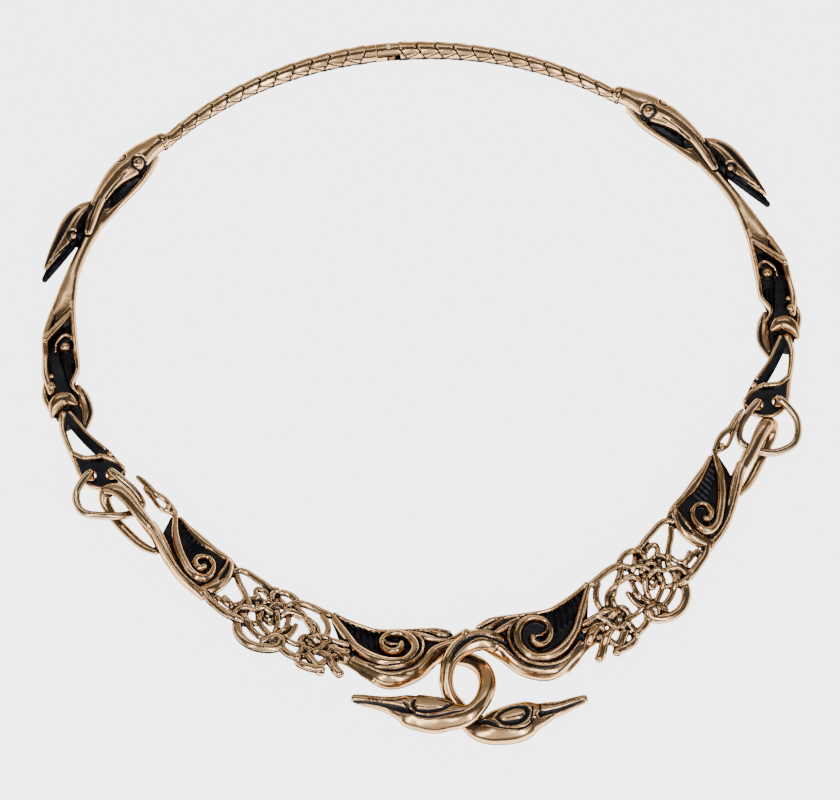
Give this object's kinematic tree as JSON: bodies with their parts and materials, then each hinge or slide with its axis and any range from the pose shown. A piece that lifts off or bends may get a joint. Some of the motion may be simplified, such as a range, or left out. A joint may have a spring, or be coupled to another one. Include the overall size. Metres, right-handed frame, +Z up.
{
  "type": "bronze neck ring",
  "caption": "Rigid bronze neck ring: scaled rods with beast heads, openwork interlace panels, a back hinge and a clasp of two crossed hooks with bird heads.",
  "frame": {"origin": "middle of the underside of the ring's box, as it lies flat", "axes": "+Z up out of the plane of the ring, +Y towards the back hinge, -Y towards the clasp, +X towards the right half as seen from above with the clasp near the viewer"},
  "size_m": [0.1472, 0.1518, 0.0078],
  "materials": {
    "bronze": "polished rose bronze with dark patina in the hollows",
    "wire_bronze": "polished drawn bronze wire"
  },
  "bodies": {
    "right_half": {"right_rear_arm": "bronze", "hinge_pin": "wire_bronze", "right_wire_loop": "wire_bronze", "right_front_panel": "bronze"},
    "left_half": {"left_rear_arm": "bronze", "left_wire_loop": "wire_bronze", "left_front_panel": "bronze"}
  },
  "joints": [
    {"name": "back_hinge", "type": "hinge", "parent": "right_half", "child": "left_half", "pos_m": [0.0013, 0.07415, 0.0019], "axis": [0, 0, -1], "range_deg": [0, 1.2]}
  ]
}
